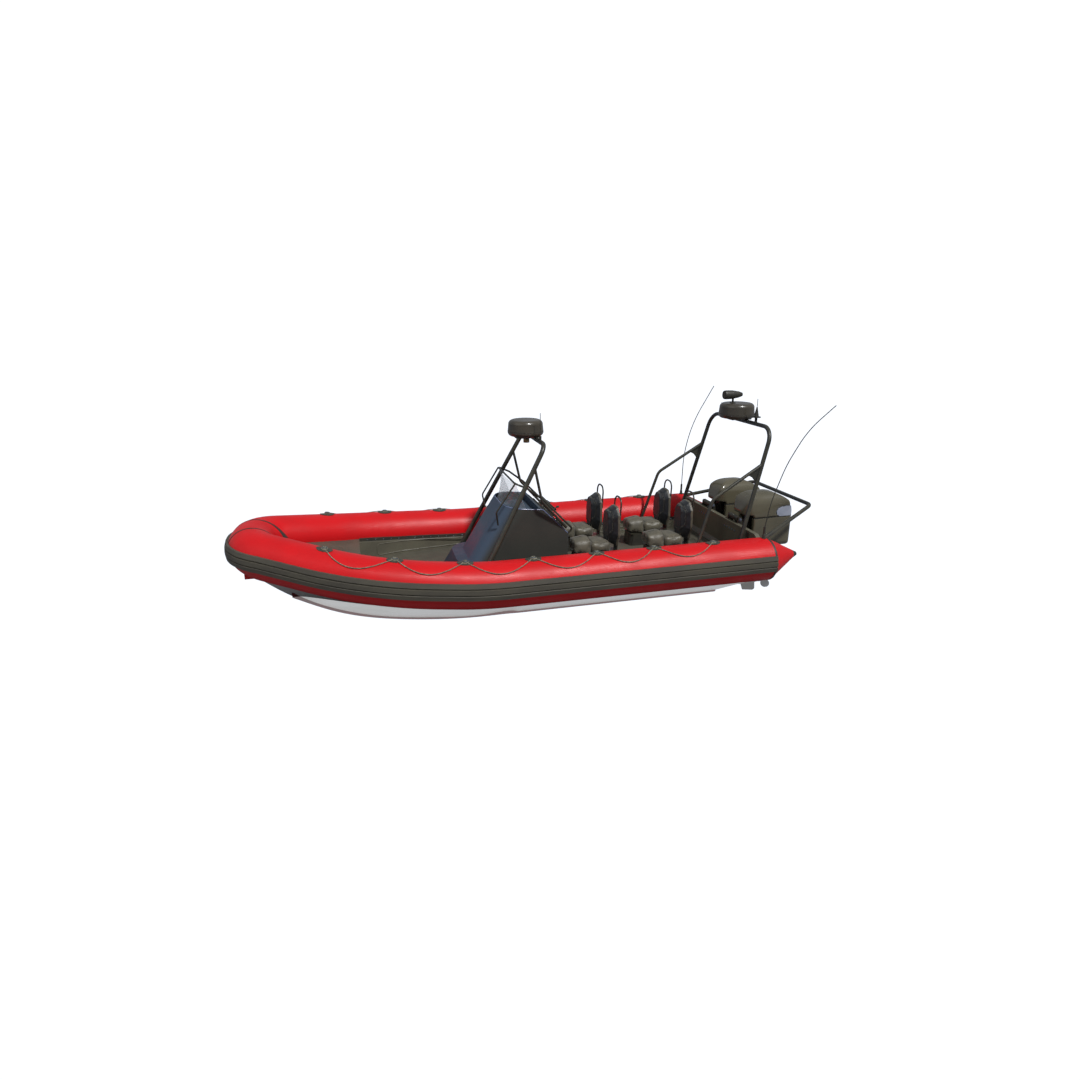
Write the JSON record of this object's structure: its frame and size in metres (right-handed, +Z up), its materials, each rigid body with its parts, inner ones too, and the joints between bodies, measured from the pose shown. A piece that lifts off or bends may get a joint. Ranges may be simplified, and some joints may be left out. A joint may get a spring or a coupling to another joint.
{
  "type": "dinghy",
  "caption": "Open rigid inflatable boat with a red collar, leaning console, jockey seats, arch frames and two tilting outboard engines",
  "frame": {"origin": "on the centreline at the waterline, amidships", "axes": "+X forward, +Y port, +Z up"},
  "size_m": [7.785, 3.084, 3.034],
  "materials": {
    "collar_fabric": "coated fabric, bright red, satin",
    "strake_rubber": "moulded rubber, olive grey, matt",
    "hull_gelcoat": "gelcoat, pale grey",
    "keel_guard": "dark red wear strip",
    "deck_grey": "moulded deck, olive grey, fine grip texture",
    "trim_dark": "dark olive trim, satin",
    "console_paint": "moulded console, slate blue to olive grey, sheen",
    "instrument_black": "instrument panel, near black",
    "frame_paint": "tube frames, dark olive paint",
    "steel": "stainless steel, slightly blue",
    "seat_cover": "coated seat cover, dark olive",
    "screen": "clear screen",
    "engine_dark": "engine leg and brackets, black-olive paint",
    "cowl_paint": "engine cowl, olive brown, glossy",
    "cowl_patch": "rear cowl panel, pale blue grey",
    "rope": "laid rope, pale olive",
    "radome_shell": "radome shell, dark brown grey",
    "lamp": "lamp housing, dull yellow"
  },
  "bodies": {
    "boat": {"hull": "hull_gelcoat", "keel_strip": "keel_guard", "tow_block": "collar_fabric", "cockpit_sole": "deck_grey", "side_liners": "deck_grey", "collar_rails": "trim_dark", "bow_deck": "deck_grey", "collar_nose": "collar_fabric", "collar_port": "collar_fabric", "collar_starboard": "collar_fabric", "stern_cones": "collar_fabric", "cone_caps": "trim_dark", "rubbing_strake": "strake_rubber", "transom": "deck_grey", "console_plinth": "console_paint", "console": "console_paint", "dash_panel": "instrument_black", "windscreen": "screen", "screen_frame": "frame_paint", "helm_bearing": "instrument_black", "mast_arch": "frame_paint", "mast_radome": "radome_shell", "mast_lamp": "lamp", "mast_whip": "trim_dark", "seat_pods": "deck_grey", "seat_cushions": "seat_cover", "seat_bolsters": "seat_cover", "seat_backs": "seat_cover", "seat_frames": "frame_paint", "stern_arch": "frame_paint", "stern_radome": "radome_shell", "searchlight": "trim_dark", "cone_antenna": "trim_dark", "stub_antenna": "trim_dark", "whip_antennas": "trim_dark", "engine_guard": "frame_paint", "grab_pads": "trim_dark", "grab_line_port": "rope", "grab_line_starboard": "rope", "clamp_bracket_port": "engine_dark", "clamp_bracket_starboard": "engine_dark"},
    "helm_wheel": {"helm_wheel": "trim_dark"},
    "swivel_port": {"swivel_bracket_port": "engine_dark"},
    "engine_port": {"leg_port": "engine_dark", "apron_port": "cowl_paint", "cowl_port": "cowl_paint", "cowl_panel_port": "cowl_patch"},
    "propeller_port": {"propeller_port": "steel"},
    "swivel_starboard": {"swivel_bracket_starboard": "engine_dark"},
    "engine_starboard": {"leg_starboard": "engine_dark", "apron_starboard": "cowl_paint", "cowl_starboard": "cowl_paint", "cowl_panel_starboard": "cowl_patch"},
    "propeller_starboard": {"propeller_starboard": "steel"}
  },
  "joints": [
    {"name": "tilt_port", "type": "hinge", "parent": "boat", "child": "swivel_port", "pos_m": [-3.1, 0.39, 0.715], "axis": [0, 1, 0], "range_deg": [0, 60]},
    {"name": "steer_port", "type": "hinge", "parent": "swivel_port", "child": "engine_port", "pos_m": [-3.3, 0.39, 0.5], "axis": [0, 0, 1], "range_deg": [-25, 25]},
    {"name": "spin_port", "type": "hinge", "parent": "engine_port", "child": "propeller_port", "pos_m": [-3.645, 0.39, -0.27], "axis": [1, 0, 0], "continuous": true},
    {"name": "tilt_starboard", "type": "hinge", "parent": "boat", "child": "swivel_starboard", "pos_m": [-3.1, -0.39, 0.715], "axis": [0, 1, 0], "range_deg": [0, 60]},
    {"name": "steer_starboard", "type": "hinge", "parent": "swivel_starboard", "child": "engine_starboard", "pos_m": [-3.3, -0.39, 0.5], "axis": [0, 0, 1], "range_deg": [-25, 25]},
    {"name": "spin_starboard", "type": "hinge", "parent": "engine_starboard", "child": "propeller_starboard", "pos_m": [-3.645, -0.39, -0.27], "axis": [1, 0, 0], "continuous": true},
    {"name": "helm", "type": "hinge", "parent": "boat", "child": "helm_wheel", "pos_m": [-0.4175, -0.2, 0.8775], "axis": [-0.7071, 0, 0.7071], "range_deg": [-540, 540]}
  ],
  "couplings": [
    {"joint": "steer_starboard", "follows": "steer_port", "ratio": 1},
    {"joint": "helm", "follows": "steer_port", "ratio": -20}
  ]
}
